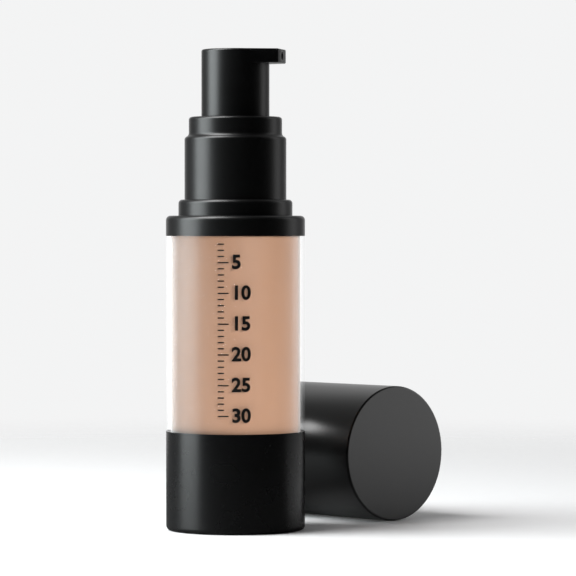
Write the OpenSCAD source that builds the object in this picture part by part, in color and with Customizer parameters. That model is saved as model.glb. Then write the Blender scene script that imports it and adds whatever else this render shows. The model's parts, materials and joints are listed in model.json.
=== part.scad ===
// Airless foundation bottle: a 30 ml double-walled body, a press-down piston pump
// with a short beak spout, a follower piston that lifts the product, and a loose cap.
// Millimetres, +Z up. The origin is the centre of the base cup's flat underside,
// the bottle stands on Z = 0, and the spout points along +X.

/* [Body] */
// Outside diameter of the base cup, jacket, shoulder and cap
body_d = 33; // [32.8:0.1:34]
// Height of the base cup
base_h = 23.5; // [21:0.5:26]
// Height of the clear wall between the base cup and the shoulder
window_h = 46.3; // [45:0.1:50]
// Wall of the clear jacket
jacket_wall = 1.0; // [1:0.05:1.2]
// Air gap between the jacket and the inner bottle
air_gap = 0.1; // [0.1:0.05:0.2]
// Wall of the inner bottle
bottle_wall = 0.5; // [0.5:0.1:0.8]

/* [Shoulder] */
// Height of the shoulder's flange
flange_h = 4.8; // [4:0.1:6]
// Diameter of the ring that the cap pushes onto
seat_d = 27.06; // [26.8:0.02:27.2]
// Height of that ring
seat_h = 3.8; // [3:0.1:5]

/* [Pump collar] */
// Diameter of the collar's lower barrel
collar_d = 24.16; // [24:0.02:24.2]
// Height of the lower barrel above the seat ring
collar_h = 15.0; // [14.5:0.1:16]
// Diameter of the collar's throat
throat_d = 22.12; // [21.6:0.02:22.2]
// Height of the throat
throat_h = 4.6; // [4.6:0.1:5.4]

/* [Actuator] */
// Diameter of the actuator's barrel
head_d = 16.14; // [15.8:0.02:16.2]
// Height of the actuator above the throat
head_h = 16.0; // [16:0.1:18]
// How far the spout's end stands from the axis
spout_reach = 11.45; // [10.5:0.05:12]
// Width of the spout's end
spout_tip_w = 7.4; // [6:0.1:7.6]
// Thickness of the spout
spout_t = 3.35; // [3.2:0.05:3.8]
// Diameter of the outlet
outlet_d = 1.9; // [1.5:0.1:2]

/* [Pump] */
// Travel of the actuator and stem
stroke = 4; // [3:0.1:4]
// Inside diameter of the pump chamber
chamber_d = 10; // [9.8:0.1:10.2]
// Diameter of the hollow stem
stem_d = 4.3; // [4.1:0.1:4.4]
// Diameter of the inlet ball
ball_d = 4; // [3.8:0.1:4]
// Diameter of the spring's wire
wire_d = 0.7; // [0.6:0.05:0.75]
// Mean diameter of the spring
spring_d = 8.4; // [8.2:0.1:8.6]
// Turns of the spring, with its two closed end turns
spring_turns = 6; // [5:0.5:6]

/* [Follower] */
// Height of the follower piston
follower_h = 12; // [10:0.5:13]
// How far the follower rises from full to empty
follower_rise = 48; // [44:0.5:48]

/* [Cap] */
// Length of the cap
cap_l = 44; // [43.5:0.1:46]
// Wall of the cap's outer shell
cap_wall = 1.15; // [1:0.05:1.2]
// Wall of the cap's inner liner
liner_wall = 0.95; // [0.8:0.05:1]
// Place of the closed end's centre as the cap lies beside the bottle
cap_x = 31.7; // [30:0.1:45]
// The same centre along Y
cap_y = 32.8; // [31:0.1:45]
// Turn of the lying cap's axis from +X
cap_turn = -32.4; // [-35:0.1:-28]

/* [Hidden] */
$fn = 96;

// Gap between two pieces that slide or turn on each other
run = 0.05;

// Heights of the outside, from the base up
window_top = base_h + window_h;
flange_top = window_top + flange_h;
seat_top = flange_top + seat_h;
collar_top = seat_top + collar_h;
throat_top = collar_top + throat_h;
head_top = throat_top + head_h;

// Radii of the outside
body_r = body_d / 2;
seat_r = seat_d / 2;
collar_r = collar_d / 2;
throat_r = throat_d / 2;
head_r = head_d / 2;

// Edge roundings of the outside
base_edge = 1.1;
flange_edge = 1.1;
seat_edge = 0.9;
collar_edge = 0.8;
throat_edge = 0.7;
head_edge = 0.5;

// Body walls: tongues of the jacket slip into the cup and the shoulder
jacket_in_r = body_r - jacket_wall;
tongue_r = jacket_in_r + jacket_wall / 2;
tongue_l = 3.4;
shoulder_tongue_l = 2.5;
bottle_r = jacket_in_r - air_gap;
bore_r = bottle_r - bottle_wall;
base_floor = 1.6;

// Inner bottle: flange of its plug, roof plate and neck
plug_flange = 0.8;
bottle_z = base_floor + plug_flange;
roof_z = window_top + 1;
roof_t = 1.6;
neck_z = roof_z + roof_t;
neck_r = 9.4;
neck_in_r = 8.2;
neck_top = neck_z + 7.6;

// Follower at its lowest, full position
follower_top = roof_z - 0.5 - follower_rise;
follower_recess_r = 7;
follower_recess = 2.5;

// Pump, from the neck's top up
gasket_t = 0.8;
housing_flange_z = neck_top + gasket_t;
closure_plate_z = housing_flange_z + 1.2;
closure_plate = 1.2;
closure_r = collar_r - 1.23;
housing_r = chamber_d / 2 + 1;
housing_foot_z = roof_z - 1.8;
housing_foot_r = 4;
housing_top = closure_plate_z + 6;
chamber_z = housing_foot_z + 6;
guide_t = 1.2;
guide_r = housing_r + 0.9;
guide_top = housing_top + guide_t;

// Inlet: a 45 degree seat, its ball just above it and the cage that stops the ball
inlet_r = 1.2;
inlet_neck = 1;
ball_bore_r = ball_d / 2 + 0.4;
ball_rest_z = housing_foot_z + inlet_neck - inlet_r + (ball_d / 2 + 0.03) * sqrt(2);
ball_lift = 0.8;
cage_t = 1;

// Stem, its stop shoulder, and the piston that lags behind it
stem_r = stem_d / 2;
stem_bore_r = 1.15;
stem_stop_z = housing_top - 0.95;
stem_stop_r = 3.4;
piston_lag = 0.8;
piston_h = 4;
piston_top = stem_stop_z - piston_lag - run;
piston_z = piston_top - piston_h;
plug_head = 1.15;

// Actuator: skirt inside the throat, hub around the stem, spout slab at the top
head_wall = 0.97;
skirt_z = throat_top - 5.7;
hub_z = guide_top + 8.8;
hub_r = 3.6;
hub_foot_r = 5;
stem_top = hub_z + 9.9;
spout_z = head_top - spout_t;
spout_root_x = 2;
spout_root_w = 14.9;
outlet_z = head_top - spout_t / 2;
nozzle_r = outlet_d / 2 + 0.55;
nozzle_l = 3;

// Cap: the liner grips the seat ring and clears the actuator by a millimetre
liner_in_r = seat_r + 0.07;
liner_depth = head_top - flange_top + 1.2;
liner_r = liner_in_r + liner_wall;
cap_in_r = body_r - cap_wall;
cap_edge = 0.45;

// Spring: its two closed end turns and the open turns between
spring_l = hub_z - guide_top;
wire_sides = 8;
turn_steps = 20;

// ---- Shapes shared by the turned pieces ----

// Profile of a ring from radius a to b and height z0 to z1, its outer corners rounded
module band(a, b, z0, z1, top = 0, bottom = 0) {
    intersection() {
        translate([a, z0]) square([b - a, z1 - z0]);
        union() {
            translate([a, z0 + bottom]) square([b - a, z1 - z0 - top - bottom]);
            translate([a, z0]) square([b - a - max(top, bottom), z1 - z0]);
            if (top > 0) translate([b - top, z1 - top]) circle(r = top);
            if (bottom > 0) translate([b - bottom, z0 + bottom]) circle(r = bottom);
        }
    }
}

// Plain ring standing on z0
module ring(a, b, z0, z1) {
    translate([0, 0, z0]) difference() {
        cylinder(r = b, h = z1 - z0);
        translate([0, 0, -1]) cylinder(r = a, h = z1 - z0 + 2);
    }
}

// Round holes spaced evenly on a circle
module holes(count, pitch_r, r, z0, z1) {
    for (i = [0 : count - 1])
        rotate(i * 360 / count) translate([pitch_r, 0, z0]) cylinder(r = r, h = z1 - z0);
}

// ---- Body ----

// Satin black cup: stands the bottle up and hides the follower
module base_cup() {
    color("#141414") difference() {
        rotate_extrude() difference() {
            band(0, body_r, 0, base_h, bottom = base_edge);
            translate([0, base_floor]) square([jacket_in_r, base_h]);
            translate([0, base_h - tongue_l - run]) square([tongue_r + run, base_h]);
        }
        // air inlet under the follower
        translate([9, 0, -1]) cylinder(r = 0.8, h = base_floor + 2);
    }
}

// Clear outer wall, tongued at both ends
module outer_jacket() {
    color("#e6ebee", 0.35) rotate_extrude() {
        band(jacket_in_r, body_r, base_h, window_top);
        band(jacket_in_r, tongue_r, base_h - tongue_l, window_top + shoulder_tongue_l);
    }
}

// Translucent bottle that holds the product, with a snap-on neck
module inner_bottle() {
    color("#ece9e2", 0.6) rotate_extrude() {
        band(bore_r, bottle_r, bottle_z, neck_z);
        band(neck_in_r, bottle_r, roof_z, neck_z);
        band(neck_in_r, neck_r, neck_z, neck_top);
        // snap bead
        polygon([[neck_r, neck_top - 4.4], [neck_r + 0.4, neck_top - 4.2],
            [neck_r + 0.4, neck_top - 3.6], [neck_r, neck_top - 2.6]]);
    }
}

// Closes the inner bottle from below and lets air in behind the follower
module bottle_plug() {
    floor_top = bottle_z + 0.7;
    rim_top = follower_top - follower_h - 0.3;
    color("#ece9e2") difference() {
        rotate_extrude() {
            band(0, bore_r - run, base_floor, floor_top);
            band(0, bottle_r, base_floor, bottle_z);
            band(bore_r - 1, bore_r - run, base_floor, rim_top);
        }
        holes(3, 9, 0.8, 0, floor_top + 1);
    }
}

// Double-lipped piston that rises as product is drawn off
module follower_piston() {
    base = follower_top - follower_h;
    lip = 1.6;
    color("#f2efe8") rotate_extrude() difference() {
        union() {
            band(0, bore_r - run, base, base + lip);
            band(0, bore_r - 0.9, base, follower_top);
            band(0, bore_r - run, follower_top - lip, follower_top);
        }
        // recess that clears the pump's foot, and the hollow underside
        translate([0, follower_top - follower_recess]) square([follower_recess_r, follower_recess + 1]);
        translate([0, base - 1]) square([bore_r - 2, follower_h - follower_recess - 0.2]);
    }
}

// The product itself, from the follower up to the bottle's roof
module foundation() {
    color("#c69b78") rotate_extrude() difference() {
        union() {
            translate([0, follower_top]) square([bore_r - run, roof_z - follower_top]);
            translate([0, follower_top - follower_recess])
                square([follower_recess_r - run, follower_recess + 1]);
        }
        translate([0, housing_foot_z - run]) square([housing_foot_r + run, 10]);
    }
}

// ---- Shoulder and collar ----

// Black ring over the jacket's top; its upper step is the cap's seat
module shoulder() {
    color("#141414") rotate_extrude() {
        band(tongue_r + run, body_r, window_top, flange_top, top = flange_edge);
        difference() {
            band(collar_r + run, body_r, neck_z, flange_top, top = flange_edge);
            translate([0, neck_z]) square([collar_r + run, flange_h]);
        }
        band(collar_r + run, seat_r, neck_z, seat_top, top = seat_edge);
    }
}

// Black sleeve over the pump: a barrel and a narrower throat, joined by a soft flare
module pump_collar() {
    wall = 1.13;
    lip = 1;
    // the flare's arc touches the throat's wall and the barrel's rounded edge
    flare = 1;
    edge_c = [collar_r - collar_edge, collar_top - collar_edge];
    flare_x = throat_r + flare;
    flare_z = edge_c[1] + sqrt(pow(collar_edge + flare, 2) - pow(flare_x - edge_c[0], 2));
    touch = edge_c + ([flare_x, flare_z] - edge_c) * collar_edge / (collar_edge + flare);
    throat_in_r = throat_r - wall;
    color("#141414") {
        rotate_extrude() {
            band(collar_r - wall, collar_r, neck_z, collar_top, top = collar_edge);
            band(throat_in_r, collar_r - collar_edge, collar_top - wall, collar_top);
            band(throat_in_r, throat_r, collar_top - wall, throat_top, top = throat_edge);
            band(head_r + 0.18, throat_in_r + wall / 2, throat_top - lip, throat_top);
        }
        rotate_extrude() difference() {
            polygon([[throat_r - 0.1, flare_z], [flare_x, flare_z], touch,
                edge_c, [throat_r - 0.1, edge_c[1]]]);
            translate([flare_x, flare_z]) circle(r = flare);
        }
    }
}

// ---- Pump ----

// Snap ring that clamps the pump to the bottle's neck
module neck_closure() {
    skirt_in_r = neck_r + 0.5;
    color("#f4f4f1") {
        rotate_extrude() {
            band(skirt_in_r, closure_r, neck_z + 0.8, closure_plate_z + closure_plate);
            band(housing_r + run, closure_r, closure_plate_z, closure_plate_z + closure_plate);
        }
        // catch under the neck's bead
        rotate_extrude()
            polygon([[skirt_in_r + 0.1, neck_top - 6], [skirt_in_r, neck_top - 6],
                [skirt_in_r - 0.4, neck_top - 5.2], [skirt_in_r - 0.4, neck_top - 4.6],
                [skirt_in_r + 0.1, neck_top - 4.5]]);
    }
}

// Soft washer between the neck and the pump's flange
module neck_gasket() {
    color("#f7f7f5") ring(housing_r + 0.2, neck_r, neck_top, housing_flange_z);
}

// Pump chamber, its flange and its foot with the ball's seat
module pump_housing() {
    color("#f1f1ee") rotate_extrude() difference() {
        union() {
            band(0, housing_foot_r, housing_foot_z, chamber_z);
            polygon([[0, chamber_z - 3], [housing_foot_r, chamber_z - 3],
                [housing_r, chamber_z - 1], [housing_r, chamber_z], [0, chamber_z]]);
            band(0, housing_r, chamber_z - 1, housing_top);
            band(0, neck_r, housing_flange_z, closure_plate_z);
        }
        translate([0, chamber_z]) square([chamber_d / 2, housing_top]);
        seat_z = housing_foot_z + inlet_neck;
        translate([0, housing_foot_z - 1]) square([inlet_r, 4]);
        polygon([[0, seat_z], [inlet_r, seat_z], [ball_bore_r, seat_z + ball_bore_r - inlet_r],
            [ball_bore_r, chamber_z + 1], [0, chamber_z + 1]]);
    }
}

// Slotted disc that keeps the inlet ball in its bore
module valve_cage() {
    pin_z = ball_rest_z + ball_d / 2 + ball_lift + run;
    color("#f1f1ee") {
        difference() {
            translate([0, 0, chamber_z]) cylinder(r = chamber_d / 2 - run, h = cage_t);
            holes(5, 2, 0.75, chamber_z - 1, chamber_z + cage_t + 1);
        }
        translate([0, 0, pin_z]) cylinder(r = 0.9, h = chamber_z - pin_z + 0.5);
    }
}

// Steel ball that shuts the inlet while the pump is pressed
module inlet_ball() {
    color("#c9ccd0") translate([0, 0, ball_rest_z]) sphere(r = ball_d / 2);
}

// Lipped piston that slides in the chamber and, a little, on the stem
module pump_piston() {
    lip = 1;
    color("#f6f3ea") rotate_extrude() {
        band(stem_r + run, chamber_d / 2 - run, piston_z, piston_z + lip);
        band(stem_r + run, chamber_d / 2 - 0.6, piston_z, piston_top);
        band(stem_r + run, chamber_d / 2 - run, piston_top - lip, piston_top);
    }
}

// Hollow stem: product enters its side ports and leaves through the actuator
module stem() {
    port_z = piston_z + 0.5;
    color("#f4f4f1") difference() {
        rotate_extrude() {
            band(stem_bore_r, stem_r, piston_z, stem_top);
            band(stem_bore_r, stem_stop_r, stem_stop_z, housing_top - run / 2);
        }
        for (turn = [0, 90])
            rotate(turn) translate([-stem_r - 1, 0, port_z]) rotate([0, 90, 0])
                cylinder(r = 0.4, h = stem_d + 2);
    }
}

// Mushroom plug in the stem's end; it seals the piston's underside at rest
module stem_plug() {
    web = 0.6;
    shank_l = 3.4;
    color("#f4f4f1") {
        translate([0, 0, piston_z - plug_head])
            cylinder(r1 = 2.9, r2 = 3.4, h = plug_head - run / 2);
        intersection() {
            translate([0, 0, piston_z - plug_head / 2])
                cylinder(r = stem_bore_r - run / 2, h = shank_l);
            for (turn = [0, 90])
                rotate(turn) translate([-web / 2, -2, piston_z - plug_head])
                    cube([web, 4, 10]);
        }
    }
}

// Cap of the chamber: stops and guides the stem, and seats the spring
module stem_guide() {
    color("#f4f4f1") rotate_extrude() {
        band(stem_r + run, guide_r, housing_top, guide_top);
        band(housing_r + run / 2, guide_r, closure_plate_z + closure_plate + 0.2, guide_top);
        band(stem_r + run, spring_d / 2 - wire_d / 2 - 0.2, guide_top, guide_top + 1.4);
    }
}

// Height of the spring's wire after t turns: closed end turns, open middle turns
function wire_z(t) =
    let (rise = spring_l - wire_d, n = spring_turns, pitch = (rise - 2 * wire_d) / (n - 2))
    t < 1 ? wire_d * t : t > n - 1 ? rise - wire_d * (n - t) : wire_d + pitch * (t - 1);

// Point of the wire's skin after t turns, at angle a round the wire
function wire_point(t, a) =
    let (r = spring_d / 2 + wire_d / 2 * cos(a))
    [r * cos(360 * t), r * sin(360 * t), guide_top + wire_d / 2 + wire_z(t) + wire_d / 2 * sin(a)];

// Stainless return spring between the guide and the actuator's hub
module pump_spring() {
    steps = spring_turns * turn_steps;
    m = wire_sides;
    skin = [for (i = [0 : steps], j = [0 : m - 1]) wire_point(i / turn_steps, 360 * j / m)];
    sides = [for (i = [0 : steps - 1], j = [0 : m - 1])
        let (k = (j + 1) % m) [i * m + j, (i + 1) * m + j, (i + 1) * m + k, i * m + k]];
    ends = [[for (j = [0 : m - 1]) j], [for (j = [m - 1 : -1 : 0]) steps * m + j]];
    color("#b9bdc2") polyhedron(skin, concat(sides, ends), convexity = 8);
}

// ---- Actuator ----

// Plan of the beak spout, tapering to its flat end
module spout_plan() {
    polygon([[spout_root_x, -spout_root_w / 2], [spout_reach, -spout_tip_w / 2],
        [spout_reach, spout_tip_w / 2], [spout_root_x, spout_root_w / 2]]);
}

// Black push head: a hollow barrel, the hub that grips the stem, and the spout
module actuator() {
    roof = 3.8;
    color("#141414") difference() {
        union() {
            rotate_extrude() difference() {
                band(0, head_r, skirt_z, head_top, top = head_edge);
                translate([0, skirt_z - 1]) square([head_r - head_wall, head_top - roof - skirt_z + 1]);
            }
            translate([0, 0, spout_z]) linear_extrude(spout_t) spout_plan();
            translate([0, 0, hub_z]) cylinder(r = hub_r, h = head_top - hub_z - 1);
            translate([0, 0, hub_z]) cylinder(r = hub_foot_r, h = 1.2);
        }
        translate([0, 0, hub_z - 1]) cylinder(r = stem_r + run / 2, h = stem_top - hub_z + 1 + run);
        translate([0, 0, hub_z]) cylinder(r = stem_bore_r, h = outlet_z - hub_z);
        translate([0, 0, outlet_z]) rotate([0, 90, 0]) cylinder(r = outlet_d / 2, h = spout_reach + 1);
        translate([spout_reach - nozzle_l - run, 0, outlet_z]) rotate([0, 90, 0])
            cylinder(r = nozzle_r + run / 2, h = nozzle_l + 1);
    }
}

// Outlet sleeve pressed into the spout's end
module nozzle_insert() {
    color("#2a2a2a") translate([spout_reach - nozzle_l, 0, outlet_z]) rotate([0, 90, 0])
        ring(outlet_d / 2, nozzle_r, 0, nozzle_l);
}

// ---- Cap ----

// Stands a cap-shaped child on its closed end's centre and lays it beside the bottle
module lay_cap() {
    translate([cap_x, cap_y, body_r]) rotate(cap_turn) rotate([0, 90, 0])
        translate([0, 0, -cap_l]) children();
}

// Satin black outer shell, drawn with its open rim at zero
module cap_shell() {
    color("#141414") lay_cap() rotate_extrude() difference() {
        band(0, body_r, 0, cap_l, top = cap_edge, bottom = 0.25);
        translate([0, -1]) square([cap_in_r, cap_l - cap_wall - 0.25 + 1]);
    }
}

// Inner liner glued into the shell; its bore grips the seat ring
module cap_liner() {
    rim = 0.4;
    flange = 1.6;
    roof = 1;
    color("#1b1b1b") lay_cap() rotate_extrude() difference() {
        union() {
            band(0, liner_r, rim, liner_depth + roof);
            band(0, cap_in_r - run / 2, rim, rim + flange);
        }
        translate([0, -1]) square([liner_in_r, liner_depth + 1]);
    }
}

base_cup();
outer_jacket();
inner_bottle();
bottle_plug();
follower_piston();
foundation();
shoulder();
pump_collar();
neck_closure();
neck_gasket();
pump_housing();
valve_cage();
inlet_ball();
pump_piston();
stem();
stem_plug();
stem_guide();
pump_spring();
actuator();
nozzle_insert();
cap_shell();
cap_liner();
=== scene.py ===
"""Foundation bottle: a 30 ml airless pump bottle, black and clear, with its cap lying beside it."""

import json
import math

import bmesh
import bpy
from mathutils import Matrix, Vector


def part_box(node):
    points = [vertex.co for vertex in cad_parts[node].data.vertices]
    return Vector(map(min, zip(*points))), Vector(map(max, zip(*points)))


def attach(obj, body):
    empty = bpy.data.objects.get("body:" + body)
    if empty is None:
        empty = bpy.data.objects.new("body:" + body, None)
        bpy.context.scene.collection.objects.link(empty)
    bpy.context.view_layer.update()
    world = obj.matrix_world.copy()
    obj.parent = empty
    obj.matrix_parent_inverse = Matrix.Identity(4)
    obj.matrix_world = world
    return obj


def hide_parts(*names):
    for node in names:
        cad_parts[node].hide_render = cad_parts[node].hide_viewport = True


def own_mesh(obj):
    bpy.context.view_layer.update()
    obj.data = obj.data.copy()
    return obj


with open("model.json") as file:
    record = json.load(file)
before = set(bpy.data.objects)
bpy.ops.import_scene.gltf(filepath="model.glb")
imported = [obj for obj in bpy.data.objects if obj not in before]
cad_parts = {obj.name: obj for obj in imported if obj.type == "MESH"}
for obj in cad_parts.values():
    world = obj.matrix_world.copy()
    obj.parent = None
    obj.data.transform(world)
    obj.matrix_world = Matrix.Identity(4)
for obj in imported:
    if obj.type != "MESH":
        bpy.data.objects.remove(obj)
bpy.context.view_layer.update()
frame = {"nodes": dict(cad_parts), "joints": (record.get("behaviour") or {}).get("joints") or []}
nodes = frame["nodes"]
scene = bpy.context.scene
mm = 0.001

# ---------------------------------------------------------------- Camera
# A long lens stands 0.8 m off, a little above the bottle's middle, and looks
# at it from the front with the spout turned 15 degrees towards the viewer.
camera_turn = math.radians(15)
camera_away = 0.825
camera_height = 0.0725
aim_right = math.radians(0.866)
aim_down = math.radians(1.047)
towards_camera = Vector((math.sin(camera_turn), -math.cos(camera_turn), 0))
to_right = Vector((math.cos(camera_turn), math.sin(camera_turn), 0))

lens = bpy.data.cameras.new("long_lens")
lens.lens = 217.1
lens.sensor_width = 36
lens.clip_start = 0.01
lens.clip_end = 20
camera = bpy.data.objects.new("camera", lens)
camera.location = towards_camera * camera_away + Vector((0, 0, camera_height))
camera.rotation_euler = (math.pi / 2 - aim_down, 0, camera_turn - aim_right)
scene.collection.objects.link(camera)
scene.camera = camera
scene.view_settings.view_transform = "Standard"


# ---------------------------------------------------------------- Studio
# A pale table fades into a white room that is bright behind the bottle and dim
# in front. A tall soft box stands on the left, a weaker one on the right, one above.
class Tone:
    """A node socket: arithmetic on it adds Math nodes, and add() adds any other node."""

    def __init__(self, tree, socket=None):
        self.tree = tree
        self.socket = socket

    def add(self, kind, settings=None, inputs=None, output=0):
        """One output of a new node in this tree. Its settings are set before its inputs."""
        node = self.tree.nodes.new(kind)
        for key, value in (settings or {}).items():
            setattr(node, key, value)
        for key, value in (inputs or {}).items():
            if isinstance(value, Tone):
                self.tree.links.new(value.socket, node.inputs[key])
            else:
                node.inputs[key].default_value = value
        return Tone(self.tree, node.outputs[output] if node.outputs else None)

    def math(self, operation, left, right=0.0):
        return self.add("ShaderNodeMath", {"operation": operation}, {0: left, 1: right})

    def __add__(self, other):
        return self.math("ADD", self, other)

    __radd__ = __add__

    def __sub__(self, other):
        return self.math("SUBTRACT", self, other)

    def __rsub__(self, other):
        return self.math("SUBTRACT", other, self)

    def __mul__(self, other):
        return self.math("MULTIPLY", self, other)

    def __truediv__(self, other):
        return self.math("DIVIDE", self, other)

    def __lt__(self, other):
        return self.math("LESS_THAN", self, other)

    def __gt__(self, other):
        return self.math("GREATER_THAN", self, other)

    def smooth(self, low, high):
        """0 below low, 1 above high, and a smooth step between."""
        span = {"From Min": low, "From Max": high, "Value": self}
        return self.add("ShaderNodeMapRange", {"interpolation_type": "SMOOTHSTEP"}, span)

    def blend(self, dark, light):
        """The colour dark at 0 and light at 1, through the Mix node's colour sockets, 6, 7 and 2."""
        return self.add("ShaderNodeMix", {"data_type": "RGBA"}, {0: self, 6: dark, 7: light}, 2)

    def noise(self, size, detail=2.0, rough=0.5):
        """Noise from 0 to 1 whose blobs are about size metres across, at this place."""
        look = {"Vector": self, "Scale": 1 / size, "Detail": detail, "Roughness": rough}
        return self.add("ShaderNodeTexNoise", {}, look)

    def bump(self, strength, depth):
        """Normal of a surface that this height raises by up to depth metres."""
        look = {"Strength": strength, "Distance": depth, "Height": self}
        return self.add("ShaderNodeBump", {}, look)

    def parts(self):
        """X, Y and Z of this place."""
        node = self.add("ShaderNodeSeparateXYZ", {}, {0: self}).socket.node
        return [Tone(self.tree, socket) for socket in node.outputs]

    def height(self):
        """Z of this place."""
        return self.parts()[2]

    def stretched(self, scale):
        """This place with its axes scaled."""
        return self.add("ShaderNodeVectorMath", {"operation": "MULTIPLY"}, {0: self, 1: scale})

    def length(self):
        """Distance of this place from the origin."""
        return self.add("ShaderNodeVectorMath", {"operation": "LENGTH"}, {0: self}, "Value")

    def along(self, way):
        """How far this place lies from the origin in a direction."""
        return self.add("ShaderNodeVectorMath", {"operation": "DOT_PRODUCT"}, {0: self, 1: way}, "Value")


def finish(name, paint):
    """Material whose Principled inputs are what paint() gives for a place on the piece."""
    material = bpy.data.materials.new(name)
    material.use_nodes = True
    tree = material.node_tree
    tree.nodes.clear()
    place = Tone(tree).add("ShaderNodeTexCoord", output="Object")
    shader = place.add("ShaderNodeBsdfPrincipled", {}, paint(place))
    place.add("ShaderNodeOutputMaterial", {}, {"Surface": shader})
    return material


room_white = (0.9, 0.903, 0.905, 1)
room_front = 0.012
room_sides = 0.2
room_back = 0.7
room_above = 0.16

world = bpy.data.worlds.new("studio")
scene.world = world
world.use_nodes = True
world.node_tree.nodes.clear()
gaze = Tone(world.node_tree).add("ShaderNodeTexCoord", output="Generated")
behind = gaze.along(-towards_camera)
glow = behind.smooth(-0.2, 0.6) * room_sides + behind.smooth(0.82, 0.96) * room_back + room_front
glow = glow + gaze.height().smooth(0.2, 0.6) * behind.smooth(0.0, 0.4) * room_above
room = gaze.add("ShaderNodeBackground", {}, {"Color": room_white, "Strength": glow})
card = gaze.add("ShaderNodeBackground", {}, {"Color": room_white, "Strength": 1.0})
seen = gaze.add("ShaderNodeLightPath", output="Is Camera Ray")
sky = gaze.add("ShaderNodeMixShader", {}, {0: seen, 1: room, 2: card})
gaze.add("ShaderNodeOutputWorld", {}, {"Surface": sky})

table_r = 1.5
table_mesh = bpy.data.meshes.new("table")
disc = bmesh.new()
bmesh.ops.create_circle(disc, cap_ends=True, segments=96, radius=table_r)
disc.to_mesh(table_mesh)
disc.free()
table = bpy.data.objects.new("table", table_mesh)
scene.collection.objects.link(table)


def table_paint(place):
    """Inputs of the pale table. It is painted near black in what glossy pieces mirror, a painted shade
    as if flags stood over it that is lighter by the cap, and it has a faint painted glow.
    """
    grain = place.noise(4 * mm, 3)
    mirrored = place.add("ShaderNodeLightPath", output="Is Glossy Ray")
    right = place.along(to_right)
    back = place.along(-towards_camera)
    painted_light_by_cap = right.smooth(10 * mm, 30 * mm) * back.smooth(-10 * mm, 10 * mm)
    # Painted shade: glossy rays see the table near black, less so by the cap, and the same mask keeps
    # its painted glow out of them.
    painted_shade = (0.95 - painted_light_by_cap * 0.6) * mirrored
    pale = grain.blend((0.88, 0.88, 0.885, 1), (0.92, 0.92, 0.925, 1))
    return {
        "Base Color": painted_shade.blend(pale, (0.02, 0.02, 0.02, 1)),
        "Roughness": 0.6,
        # Painted glow: the table gives off faint light of its own, though it is no lamp.
        "Emission Color": painted_shade.blend((1, 1, 1, 1), (0, 0, 0, 1)),
        "Emission Strength": 0.03,
        "Alpha": 1 - place.length().smooth(0.1, 0.5),
    }


table_mesh.materials.append(finish("pale_table_with_painted_shade", table_paint))
aim_height = 60 * mm


def softbox(name, turn, rise, away, size, power):
    """Rectangular light turned to the right of the camera and raised, in degrees, facing the bottle."""
    light = bpy.data.lights.new(name, "AREA")
    light.shape = "RECTANGLE"
    light.size, light.size_y = size
    light.energy = power
    lamp = bpy.data.objects.new(name, light)
    turn, rise = math.radians(turn), math.radians(rise)
    out = (towards_camera * math.cos(turn) + to_right * math.sin(turn)) * math.cos(rise)
    out.z = math.sin(rise)
    lamp.location = out * away + Vector((0, 0, aim_height))
    lamp.rotation_euler = out.to_track_quat("Z", "Y").to_euler()
    lamp.visible_camera = False
    scene.collection.objects.link(lamp)
    return lamp


def aimed_at(lamp, state, *pieces):
    """Lights these pieces only (INCLUDE), or everything but them (EXCLUDE), as a studio's flags do."""
    receivers = bpy.data.collections.new(lamp.name + "_receivers")
    for piece in pieces:
        receivers.objects.link(piece)
    for flag in receivers.collection_objects:
        flag.light_linking.link_state = state
    lamp.light_linking.receiver_collection = receivers


left_softbox = softbox("left_softbox", -82, 18, 0.5, (0.34, 0.46), 3.2)
left_softbox.data.color = (0.93, 0.99, 1.0)
right_softbox = softbox("right_softbox", 108, 14, 0.5, (0.2, 0.45), 0.22)
top_softbox = softbox("top_softbox", -72, 60, 0.6, (0.36, 0.36), 4.4)


# ---------------------------------------------------------------- Base cup
# Black polypropylene cup that holds the jacket's lower tongue. The steel mould
# was finely blasted, so it is satin, and its foot is scuffed by shelves.
scuff_height = 0.7 * mm


def satin(place):
    """Inputs of the satin black that the bottle's own mouldings have."""
    grain = place.noise(0.12 * mm, 3, 0.6)
    clouds = place.noise(9 * mm, 4, 0.55)
    lint = place.noise(0.8 * mm, 2).smooth(0.72, 0.79)
    resin = clouds.blend((0.0016, 0.0017, 0.0019, 1), (0.0028, 0.0029, 0.0031, 1))
    return {
        "Base Color": lint.blend(resin, (0.0045, 0.0045, 0.0045, 1)),
        "Roughness": 0.315 + clouds * 0.05 + lint * 0.05,
        "Normal": grain.bump(0.05, 0.02 * mm),
    }


def scuffed_satin(place):
    """The same black, a little shinier, with its foot worn pale and dull in streaks."""
    inputs = satin(place)
    streaks = place.noise(0.35 * mm, 4, 0.7).smooth(0.5, 0.75)
    foot = 1 - place.height().smooth(0.1 * mm, scuff_height)
    worn = streaks * foot
    inputs["Base Color"] = (worn * 0.5).blend(inputs["Base Color"], (0.06, 0.06, 0.06, 1))
    inputs["Roughness"] = inputs["Roughness"] + worn * 0.25 - 0.07
    return inputs


def dress(material, *names):
    """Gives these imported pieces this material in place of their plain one."""
    for name in names:
        nodes[name].data.materials.clear()
        nodes[name].data.materials.append(material)


dress(finish("scuffed_satin_black", scuffed_satin), "base_cup")
aimed_at(right_softbox, "EXCLUDE", nodes["base_cup"])

# ---------------------------------------------------------------- Outer jacket
# Clear acrylic tube, polished outside, cemented by its thinned ends into the
# base cup and the shoulder. It mirrors the room the more, the flatter it is seen.
jacket_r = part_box("outer_jacket")[1].x
acrylic_ior = 1.49
most_mirrored = 0.15
skin_depth = 0.08 * mm


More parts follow.
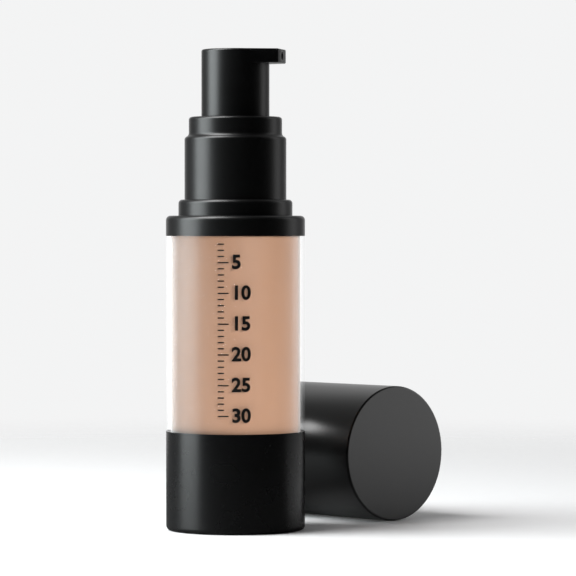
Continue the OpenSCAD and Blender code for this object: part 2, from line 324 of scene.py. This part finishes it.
def see_through(name, paint, mirror):
    """Material that lets light straight through, apart from mirror(place), its share of paint()."""
    material = finish(name, paint)
    tree = material.node_tree
    output = next(node for node in tree.nodes if node.type == "OUTPUT_MATERIAL")
    skin = Tone(tree, output.inputs["Surface"].links[0].from_socket)
    place = skin.add("ShaderNodeTexCoord", output="Object")
    open_air = skin.add("ShaderNodeBsdfTransparent", {}, {"Color": (1, 1, 1, 1)})
    both = skin.add("ShaderNodeMixShader", {}, {0: mirror(place), 1: open_air, 2: skin})
    tree.links.new(both.socket, output.inputs["Surface"])
    return material


def outer_gloss(place, skin_r, ior):
    """Mirrored share of a tube's outer skin, seen from outside, and nothing elsewhere."""
    outside = place.stretched((1, 1, 0)).length() > skin_r - skin_depth
    front = 1 - place.add("ShaderNodeNewGeometry", output="Backfacing")
    return place.add("ShaderNodeFresnel", {}, {"IOR": ior}) * outside * front


def jacket_gloss(place):
    gloss = outer_gloss(place, jacket_r, acrylic_ior)
    return gloss.math("MINIMUM", gloss, most_mirrored)


def acrylic(place):
    wear = place.noise(6 * mm, 3)
    return {
        "Base Color": (0.97, 0.975, 0.98, 1),
        "Metallic": 1.0,
        "Roughness": 0.3 + wear * 0.06,
        "Normal": place.noise(0.5 * mm, 2).bump(0.02, 0.01 * mm),
    }


dress(see_through("clear_acrylic", acrylic, jacket_gloss), "outer_jacket")

# Two lights that only the jacket catches, as a pale strip along each side.
left_rim_softbox = softbox("left_rim_softbox", -128, 5, 0.5, (0.34, 0.4), 1.5)
aimed_at(left_rim_softbox, "INCLUDE", nodes["outer_jacket"])
right_rim_softbox = softbox("right_rim_softbox", 124, 5, 0.5, (0.3, 0.4), 0.8)
aimed_at(right_rim_softbox, "INCLUDE", nodes["outer_jacket"])

# ---------------------------------------------------------------- Inner bottle and plug
# Thin natural polypropylene bottle that holds the product, with a snap neck, and
# a waxy disc that closes it from below and lets air in behind the follower.
bottle_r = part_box("inner_bottle")[1].x


def natural_gloss(place):
    haze = place.noise(3 * mm, 3) * 0.02
    return outer_gloss(place, bottle_r, 1.45) + haze


def natural_resin(place):
    return {
        "Base Color": place.noise(5 * mm, 2).blend((0.9, 0.87, 0.84, 1), (0.95, 0.93, 0.91, 1)),
        "Roughness": 0.32 + place.noise(2 * mm, 3) * 0.1,
        "Normal": place.noise(0.3 * mm, 2).bump(0.05, 0.02 * mm),
    }


def waxy_resin(place):
    flow = place.noise(2.5 * mm, 4, 0.6)
    return {
        "Base Color": flow.blend((0.74, 0.75, 0.73, 1), (0.84, 0.84, 0.82, 1)),
        "Roughness": 0.42 + flow * 0.12,
        "Subsurface Weight": 0.15,
        "Subsurface Scale": 1 * mm,
        "Normal": place.noise(0.2 * mm, 3).bump(0.08, 0.02 * mm),
    }


dress(see_through("natural_polypropylene", natural_resin, natural_gloss), "inner_bottle")
waxy_white = finish("waxy_polyethylene", waxy_resin)
dress(waxy_white, "bottle_plug")

# ---------------------------------------------------------------- Follower piston
# Soft polyethylene piston with a lip at each end, wiped with product on top. It
# climbs the inner bottle as the pump draws, because air comes in below it.
dress(waxy_white, "follower_piston")

# ---------------------------------------------------------------- Foundation
# Opaque tan cream that fills the inner bottle from the follower to its roof. The
# wall it wets magnifies it to the bottle's own width, so it is drawn that wide.
# A core is left out below the pump's inlet, so that the last of it clears the ball.
fill_low, fill_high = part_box("foundation")
gap = 0.05 * mm
bore_r = fill_high.x + gap
fill_r = bottle_r - gap
roof_z = fill_high.z
recess_r = 7 * mm
recess = 2.5 * mm
wall_z = fill_low.z + recess
core_r = 4.1 * mm
empty_thickness = 0.5 * mm


def rounded(corners, steps=6):
    """Outline through (r, z, rounding) corners, with an arc of that radius at each."""
    outline = []
    for index, (r, z, rounding) in enumerate(corners):
        here = Vector((r, z))
        if rounding == 0:
            outline.append(here)
            continue
        back = (Vector(corners[index - 1][:2]) - here).normalized()
        on = (Vector(corners[(index + 1) % len(corners)][:2]) - here).normalized()
        half = back.angle(on) / 2
        reach = rounding / math.tan(half)
        centre = here + (back + on).normalized() * rounding / math.sin(half)
        start = here + back * reach - centre
        turn = start.angle_signed(here + on * reach - centre)
        for step in range(steps + 1):
            angle = -turn * step / steps
            spoke = Vector((
                start.x * math.cos(angle) - start.y * math.sin(angle),
                start.x * math.sin(angle) + start.y * math.cos(angle),
            ))
            outline.append(centre + spoke)
    return outline


def turned(outline, around=160):
    """Mesh of a closed outline of (r, z) points turned round the Z axis."""
    mesh = bpy.data.meshes.new("turned")
    lathe = bmesh.new()
    points = [lathe.verts.new((r, 0, z)) for r, z in outline]
    edges = [lathe.edges.new((points[i - 1], points[i])) for i in range(len(points))]
    full = {"axis": (0, 0, 1), "cent": (0, 0, 0), "angle": math.tau, "steps": around}
    bmesh.ops.spin(lathe, geom=points + edges, use_merge=True, **full)
    bmesh.ops.remove_doubles(lathe, verts=lathe.verts, dist=1e-7)
    bmesh.ops.recalc_face_normals(lathe, faces=lathe.faces)
    for face in lathe.faces:
        face.smooth = True
    lathe.to_mesh(mesh)
    lathe.free()
    mesh.set_sharp_from_angle(angle=math.radians(35))
    return mesh


def placed(name, mesh, material, body, slot, *replaced):
    """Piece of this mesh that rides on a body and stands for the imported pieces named."""
    mesh.materials.clear()
    mesh.materials.append(material)
    piece = bpy.data.objects.new(name, mesh)
    scene.collection.objects.link(piece)
    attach(piece, body)
    if replaced:
        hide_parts(*replaced)
    return piece


def cream(place):
    swirl = place.stretched((1, 1, 0.25)).noise(7 * mm, 3, 0.5)
    pigment = place.noise(0.25 * mm, 2).smooth(0.62, 0.72)
    tan = swirl.blend((0.545, 0.292, 0.17, 1), (0.575, 0.312, 0.184, 1))
    return {
        "Base Color": (pigment * 0.1).blend(tan, (0.42, 0.2, 0.11, 1)),
        "Roughness": 0.38 + swirl * 0.08,
        "Specular IOR Level": 0.2,
        "Sheen Weight": 0.35,
        "Sheen Roughness": 0.35,
        "Normal": swirl.bump(0.03, 0.1 * mm),
    }


fill_outline = rounded([
    (core_r, fill_low.z, 0.3 * mm),
    (recess_r, fill_low.z, 0.3 * mm),
    (recess_r, wall_z, 0.2 * mm),
    (fill_r, wall_z, 0.15 * mm),
    (fill_r, roof_z, 0.25 * mm),
    (core_r, roof_z, 0.15 * mm),
])
tan_cream = finish("tan_cream", cream)
fill_mesh = turned(fill_outline)
fill = placed("foundation_fill", fill_mesh, tan_cream, "bottle", "foundation_cream", "foundation")
kept = empty_thickness / (roof_z - wall_z)
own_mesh(fill)

# The cream has a front light to itself, and the side and top lights are kept off it.
front_softbox = softbox("front_softbox", 27, 12, 0.6, (0.5, 0.22), 2.28)
aimed_at(front_softbox, "INCLUDE", fill, nodes["inner_bottle"])
aimed_at(left_softbox, "EXCLUDE", fill, nodes["cap_shell"])
aimed_at(top_softbox, "EXCLUDE", fill, nodes["cap_shell"])

# ---------------------------------------------------------------- Volume scale
# Black screen print on the jacket's front: a mark for each millilitre left above
# the follower, a long one with its number at every fifth. The ink is a thin coat.
ink_depth = 0.03 * mm
mark_line = 0.3 * mm
short_mark = 1.5 * mm
long_mark = 2.6 * mm
first_mark = 2
last_mark = 30
digit_size = 4.5 * mm
digit_bold = 0.15 * mm
digit_gap = 0.7 * mm
widest_number = digit_size * 1.6
strip = 0.5 * mm
scale_left = -4.2 * mm
rise_per_ml = 1e-6 / (math.pi * bore_r ** 2)
lift_off = ink_depth * 0.3


def ink_black(place):
    coat = place.noise(0.3 * mm, 3)
    return {
        "Base Color": coat.blend((0.004, 0.004, 0.004, 1), (0.01, 0.01, 0.01, 1)),
        "Roughness": 0.4 + coat * 0.1,
        "Normal": coat.bump(0.1, 0.01 * mm),
    }


printed_black = finish("printed_black", ink_black)


def named_inputs(tree, sizes):
    """Group Input node of a node tree whose inputs are these names and values."""
    kinds = {float: "NodeSocketFloat", int: "NodeSocketInt"}
    for name, value in sizes.items():
        socket = tree.interface.new_socket(name, in_out="INPUT", socket_type=kinds[type(value)])
        socket.default_value = value
    tree.interface.new_socket("Geometry", in_out="OUTPUT", socket_type="NodeSocketGeometry")
    group = tree.nodes.new("NodeGroupInput")
    return {socket.name: Tone(tree, socket) for socket in group.outputs if socket.name}


def grown(name, tree, shape, material):
    """Plain mesh of what a node tree makes, with its last nodes added here."""
    real = shape.add("GeometryNodeRealizeInstances", {}, {0: shape})
    painted = real.add("GeometryNodeSetMaterial", {}, {"Geometry": real, "Material": material})
    painted.add("NodeGroupOutput", {}, {0: painted})
    seed = bpy.data.objects.new(name + "_seed", bpy.data.meshes.new(name + "_seed"))
    scene.collection.objects.link(seed)
    modifier = seed.modifiers.new(name, "NODES")
    modifier.node_group = tree
    grid = bpy.context.evaluated_depsgraph_get()
    mesh = bpy.data.meshes.new_from_object(seed.evaluated_get(grid))
    seed.modifiers.remove(modifier)
    bpy.data.objects.remove(seed)
    return mesh


scale_tree = bpy.data.node_groups.new("millilitre_marks", "GeometryNodeTree")
size = named_inputs(scale_tree, {
    "Jacket radius": jacket_r,
    "Turn": camera_turn,
    "Roof height": roof_z,
    "Rise per ml": rise_per_ml,
    "First mark": first_mark,
    "Last mark": last_mark,
    "Short mark": short_mark,
    "Long mark": long_mark,
    "Line": mark_line,
    "Left edge": scale_left,
    "Ink depth": ink_depth,
    "Lift off": lift_off,
})
count = size["Last mark"] - size["First mark"] + 1
top_mark = size["Roof height"] - size["First mark"] * size["Rise per ml"]
start = count.add("ShaderNodeCombineXYZ", {}, {2: top_mark})
step = count.add("ShaderNodeCombineXYZ", {}, {2: size["Rise per ml"] * -1})
ladder = {"Count": count, "Start Location": start, "Offset": step}
rungs = count.add("GeometryNodeMeshLine", {"mode": "OFFSET"}, ladder)
block = count.add("GeometryNodeMeshCube", {}, {"Size": (1, 1, 1), "Vertices X": 9})
block = block.add("GeometryNodeTransform", {}, {"Geometry": block, "Translation": (0.5, 0, 0)})
millilitres = count.add("GeometryNodeInputIndex") + size["First mark"]
fifth = count.math("MODULO", millilitres, 5.0) < 0.5
length = size["Short mark"] + fifth * (size["Long mark"] - size["Short mark"])
stretch = count.add("ShaderNodeCombineXYZ", {}, {0: length, 1: size["Ink depth"], 2: size["Line"]})
spread = {"Points": rungs, "Instance": block, "Scale": stretch}
marks = count.add("GeometryNodeInstanceOnPoints", {}, spread)
marks = marks.add("GeometryNodeRealizeInstances", {}, {0: marks})
right, depth, height = count.add("GeometryNodeInputPosition").parts()
angle = (right + size["Left edge"]) / size["Jacket radius"] + size["Turn"]
reach = size["Jacket radius"] - depth + size["Lift off"]
across = reach * count.math("SINE", angle)
forward = reach * count.math("COSINE", angle) * -1
wrapped = count.add("ShaderNodeCombineXYZ", {}, {0: across, 1: forward, 2: height})
marks = marks.add("GeometryNodeSetPosition", {}, {"Geometry": marks, "Position": wrapped})
marks_mesh = grown("millilitre_marks", scale_tree, marks, printed_black)


def wrapped_digits(text, left, middle):
    """Closed ink shape of a number, upright on the jacket, from left and at the height middle.

    It is cut into upright strips first, so that it bends with the jacket.
    """
    words = bpy.data.curves.new(text, "FONT")
    words.body = text
    words.size = digit_size
    words.offset = digit_bold
    words.extrude = ink_depth / 2
    words.resolution_u = 4
    words.align_y = "CENTER"
    lettering = bpy.data.objects.new(text, words)
    scene.collection.objects.link(lettering)
    grid = bpy.context.evaluated_depsgraph_get()
    mesh = bpy.data.meshes.new_from_object(lettering.evaluated_get(grid))
    bpy.data.objects.remove(lettering)
    ink = bmesh.new()
    ink.from_mesh(mesh)
    bpy.data.meshes.remove(mesh)
    bmesh.ops.remove_doubles(ink, verts=ink.verts, dist=1e-7)
    for cut in range(math.ceil(widest_number / strip)):
        parts = ink.verts[:] + ink.edges[:] + ink.faces[:]
        across = {"plane_co": (cut * strip, 0, 0), "plane_no": (1, 0, 0)}
        bmesh.ops.bisect_plane(ink, geom=parts, dist=1e-8, **across)
    for vert in ink.verts:
        turn = (vert.co.x + left) / jacket_r
        out = towards_camera * math.cos(turn) + to_right * math.sin(turn)
        spot = out * (jacket_r + vert.co.z + lift_off)
        spot.z = vert.co.y + middle
        vert.co = spot
    return ink


print_shape = bmesh.new()
print_shape.from_mesh(marks_mesh)
digits_left = scale_left + long_mark + digit_gap
for millilitre in range(5, last_mark + 1, 5):
    digits = wrapped_digits(str(millilitre), digits_left, roof_z - millilitre * rise_per_ml)
    digits_mesh = bpy.data.meshes.new("digits")
    digits.to_mesh(digits_mesh)
    digits.free()
    print_shape.from_mesh(digits_mesh)
    bpy.data.meshes.remove(digits_mesh)
print_mesh = bpy.data.meshes.new("volume_scale")
print_shape.to_mesh(print_mesh)
print_shape.free()
placed("volume_scale", print_mesh, printed_black, "bottle", "black_satin")

# ---------------------------------------------------------------- Shoulder and pump collar
# Black flange glued over the jacket's top, with the ring that the cap pushes on
# to, and the black barrel that hides the pump's snap ring and guides the head.
satin_black = finish("satin_black", satin)
dress(satin_black, "shoulder", "pump_collar")


# ---------------------------------------------------------------- Pump body
# White polypropylene snap ring, chamber, ball cage and stem guide, moulded with a
# faint flow pattern. A grey foam washer seals the flange on the bottle's neck.
def white_resin(place):
    flow = place.noise(3 * mm, 3, 0.55)
    return {
        "Base Color": flow.blend((0.78, 0.78, 0.77, 1), (0.86, 0.86, 0.85, 1)),
        "Roughness": 0.3 + flow * 0.1,
        "Normal": place.noise(0.15 * mm, 2).bump(0.05, 0.02 * mm),
    }


def closed_foam(place):
    cells = place.add("ShaderNodeTexVoronoi", {}, {"Vector": place, "Scale": 1 / (0.18 * mm)})
    return {
        "Base Color": cells.smooth(0.1, 0.6).blend((0.62, 0.63, 0.64, 1), (0.8, 0.8, 0.8, 1)),
        "Roughness": 0.85,
        "Normal": cells.bump(0.4, 0.05 * mm),
    }


white_polypropylene = finish("white_polypropylene", white_resin)
dress(white_polypropylene, "neck_closure", "pump_housing", "valve_cage", "stem_guide")
dress(finish("closed_cell_foam", closed_foam), "neck_gasket")


# ---------------------------------------------------------------- Inlet ball
# Polished stainless ball that drops on the chamber's seat between strokes. Its
# mirror finish has hairline marks from rolling on the seat.
def polished_steel(place):
    hairlines = place.stretched((1, 6, 1)).noise(0.3 * mm, 5, 0.7).smooth(0.6, 0.75)
    return {
        "Base Color": hairlines.blend((0.72, 0.72, 0.74, 1), (0.6, 0.6, 0.62, 1)),
        "Metallic": 1.0,
        "Roughness": 0.08 + hairlines * 0.15,
    }


dress(finish("polished_steel", polished_steel), "inlet_ball")

# ---------------------------------------------------------------- Stem and piston
# Hollow white stem with its seal plug pressed in, and a waxy lipped piston that
# the plug lifts off its seat for the first part of each stroke.
dress(white_polypropylene, "stem", "stem_plug")
dress(waxy_white, "pump_piston")

# ---------------------------------------------------------------- Return spring
# Drawn stainless wire coiled between the stem guide and the head's hub, with a
# closed turn at each end. It is drawn at its free length only, though the head's stroke shortens it in
# use.
wire_r = 0.35 * mm
spring_low, spring_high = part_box("pump_spring")
stroke = next(joint for joint in frame["joints"] if joint["name"] == "pump_stroke")["range_m"][1]
spring_length = spring_high.z - spring_low.z
spring_turns = 6.0
closed_turns = 1.0


def drawn_wire(place):
    drawn = place.stretched((1, 1, 8)).noise(0.4 * mm, 4, 0.6)
    return {
        "Base Color": drawn.blend((0.42, 0.43, 0.45, 1), (0.62, 0.63, 0.65, 1)),
        "Metallic": 1.0,
        "Roughness": 0.22 + drawn * 0.15,
        "Normal": drawn.bump(0.1, 0.01 * mm),
    }


spring_tree = bpy.data.node_groups.new("return_spring", "GeometryNodeTree")
size = named_inputs(spring_tree, {
    "Coil radius": spring_high.x - wire_r,
    "Wire radius": wire_r,
    "Turns": spring_turns,
    "Closed turns": closed_turns,
    "Foot height": spring_low.z,
    "Free length": spring_length,
    "Steps a turn": 40,
})
steps = size["Turns"] * size["Steps a turn"]
points = steps.add("GeometryNodeMeshLine", {}, {"Count": steps + 1})
turns = steps.add("GeometryNodeInputIndex") / size["Steps a turn"]
closed = size["Closed turns"]
span = {"Value": turns, "From Min": closed, "From Max": size["Turns"] - closed}
opened = turns.add("ShaderNodeMapRange", {}, span)
stacked = size["Wire radius"] * 2 * turns
opening = size["Free length"] - size["Wire radius"] * 2 * (size["Turns"] + 1)
lift = size["Foot height"] + size["Wire radius"] + stacked + opened * opening
wind = turns * math.tau
across = size["Coil radius"] * turns.math("COSINE", wind)
forward = size["Coil radius"] * turns.math("SINE", wind)
coil = turns.add("ShaderNodeCombineXYZ", {}, {0: across, 1: forward, 2: lift})
line = points.add("GeometryNodeSetPosition", {}, {"Geometry": points, "Position": coil})
line = line.add("GeometryNodeMeshToCurve", {}, {0: line})
section = {"Resolution": 12, "Radius": size["Wire radius"]}
round_wire = line.add("GeometryNodeCurvePrimitiveCircle", {}, section)
sweep = {"Curve": line, "Profile Curve": round_wire, "Fill Caps": True}
wire = line.add("GeometryNodeCurveToMesh", {}, sweep)
wire = wire.add("GeometryNodeSetShadeSmooth", {}, {0: wire})
spring_steel = finish("drawn_spring_wire", drawn_wire)
spring_mesh = grown("return_spring", spring_tree, wire, spring_steel)
spring = placed("return_spring", spring_mesh, spring_steel, "bottle", "spring_steel", "pump_spring")
kept = (spring_length - stroke) / spring_length
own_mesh(spring)

# ---------------------------------------------------------------- Head
# Black push head: a thin skirt round a hub that grips the stem, and a solid roof
# that runs out into a flat, tapering spout with softened edges.
head_low, head_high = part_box("actuator")
head_r = -head_low.x
head_top = head_high.z
head_wall = 0.97 * mm
head_roof = 3.8 * mm
hub_r = 3.6 * mm
hub_foot_r = 5 * mm
hub_foot = 1.2 * mm
hub_z = spring_high.z
socket_r = 2.175 * mm
socket_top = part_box("stem")[1].z + 0.05 * mm
channel_r = 1.15 * mm
spout_reach = head_high.x
spout_depth = 3.35 * mm
spout_root_x = 2 * mm
spout_root_w = 14.9 * mm
spout_tip_w = 7.4 * mm
spout_edge = 0.32 * mm
outlet_z = head_top - spout_depth / 2
outlet_r = 0.95 * mm
nozzle_r = 1.525 * mm
nozzle_l = 3.05 * mm
past_end = 1 * mm

head_outline = rounded([
    (channel_r, socket_top, 0),
    (socket_r, socket_top, 0),
    (socket_r, hub_z, 0.15 * mm),
    (hub_foot_r, hub_z, 0.2 * mm),
    (hub_foot_r, hub_z + hub_foot, 0.2 * mm),
    (hub_r, hub_z + hub_foot, 0.3 * mm),
    (hub_r, head_top - head_roof, 0.3 * mm),
    (head_r - head_wall, head_top - head_roof, 0.4 * mm),
    (head_r - head_wall, head_low.z, 0.2 * mm),
    (head_r, head_low.z, 0.2 * mm),
    (head_r, head_top, 0.5 * mm),
    (0, head_top, 0),
    (0, outlet_z + channel_r, 0),
    (channel_r, outlet_z, 0),
])
head_mesh = turned(head_outline, around=192)
head = bpy.data.objects.new("push_head", head_mesh)

spout = bmesh.new()
plan = [
    (spout_root_x, -spout_root_w / 2), (spout_reach, -spout_tip_w / 2),
    (spout_reach, spout_tip_w / 2), (spout_root_x, spout_root_w / 2),
]
floor = [spout.verts.new((x, y, head_top - spout_depth)) for x, y in plan]
ceiling = [spout.verts.new((x, y, head_top)) for x, y in plan]
spout.faces.new(floor[::-1])
spout.faces.new(ceiling)
for i in range(4):
    spout.faces.new((floor[i], floor[(i + 1) % 4], ceiling[(i + 1) % 4], ceiling[i]))
softened = [edge for edge in spout.edges if max(vert.co.x for vert in edge.verts) > spout_root_x * 1.01]
bmesh.ops.bevel(spout, geom=softened, offset=spout_edge, segments=4, profile=0.5, affect="EDGES")
spout_mesh = bpy.data.meshes.new("spout")
spout.to_mesh(spout_mesh)
spout.free()


def cylinder_cutter(name, radius, low, high):
    """Round bar along X at the outlet's height, which cuts a hole."""
    bar = bmesh.new()
    ends = {"radius1": radius, "radius2": radius, "depth": high - low}
    bmesh.ops.create_cone(bar, cap_ends=True, segments=48, **ends)
    for vert in bar.verts:
        vert.co = Vector((vert.co.z + (low + high) / 2, vert.co.x, vert.co.y + outlet_z))
    bmesh.ops.recalc_face_normals(bar, faces=bar.faces)
    mesh = bpy.data.meshes.new(name)
    bar.to_mesh(mesh)
    bar.free()
    return bpy.data.objects.new(name, mesh)


cut_end = spout_reach + past_end
tools = [
    ("UNION", bpy.data.objects.new("spout", spout_mesh)),
    ("DIFFERENCE", cylinder_cutter("channel", outlet_r, 0, cut_end)),
    ("DIFFERENCE", cylinder_cutter("nozzle_seat", nozzle_r, spout_reach - nozzle_l, cut_end)),
]
scene.collection.objects.link(head)
for operation, tool in tools:
    scene.collection.objects.link(tool)
    join = head.modifiers.new(operation, "BOOLEAN")
    join.operation = operation
    join.solver = "EXACT"
    join.object = tool
grid = bpy.context.evaluated_depsgraph_get()
finished_mesh = bpy.data.meshes.new_from_object(head.evaluated_get(grid))
for operation, tool in tools:
    bpy.data.objects.remove(tool)
bpy.data.objects.remove(head)
for polygon in finished_mesh.polygons:
    polygon.use_smooth = True
finished_mesh.set_sharp_from_angle(angle=math.radians(32))
placed("push_head", finished_mesh, satin_black, "head", "black_satin", "actuator")


# ---------------------------------------------------------------- Nozzle insert
# Glossier black sleeve pressed into the spout's end, which sets the bead's size.
def sleeve_black(place):
    grain = place.noise(0.1 * mm, 2)
    return {
        "Base Color": grain.blend((0.006, 0.006, 0.006, 1), (0.012, 0.012, 0.012, 1)),
        "Roughness": 0.24 + grain * 0.06,
        "Normal": grain.bump(0.05, 0.01 * mm),
    }


dress(finish("sleeve_black", sleeve_black), "nozzle_insert")


# ---------------------------------------------------------------- Cap
# Black push-on cap, lying on its side: a smooth outer shell, polished more than
# the bottle's own mouldings, and a plain liner inside that grips the shoulder.
def cap_black(place):
    grain = place.noise(0.12 * mm, 3, 0.6)
    clouds = place.noise(11 * mm, 4, 0.55)
    lint = place.noise(0.8 * mm, 2).smooth(0.73, 0.8)
    resin = clouds.blend((0.0016, 0.0017, 0.0019, 1), (0.0026, 0.0027, 0.0029, 1))
    return {
        "Base Color": lint.blend(resin, (0.004, 0.004, 0.004, 1)),
        "Roughness": 0.28 + clouds * 0.04 + lint * 0.05,
        "Normal": grain.bump(0.03, 0.02 * mm),
    }


def liner_black(place):
    rub = place.noise(2 * mm, 4, 0.6)
    return {
        "Base Color": rub.blend((0.006, 0.006, 0.0065, 1), (0.012, 0.012, 0.012, 1)),
        "Roughness": 0.35 + rub * 0.12,
        "Normal": place.noise(0.3 * mm, 2).bump(0.04, 0.02 * mm),
    }


dress(finish("cap_black", cap_black), "cap_shell")
dress(finish("liner_black", liner_black), "cap_liner")

# Lights that only the shell catches: on its end, along its top, and a glint by the bottle.
cap_softbox = softbox("cap_softbox", 96, 0, 0.19, (0.2, 0.14), 0.115)
cap_softbox.location.z = 30 * mm
aimed_at(cap_softbox, "INCLUDE", nodes["cap_shell"])
cap_rim_softbox = softbox("cap_rim_softbox", -168, 32, 0.5, (0.3, 0.12), 0.07)
aimed_at(cap_rim_softbox, "INCLUDE", nodes["cap_shell"])
cap_glint = softbox("cap_glint", -125, 35, 0.06, (0.005, 0.005), 0.0008)
cap_glint.location = to_right * 5.5 * mm - towards_camera * 26.5 * mm
cap_glint.location.z = 29.5 * mm
aimed_at(cap_glint, "INCLUDE", nodes["cap_shell"])
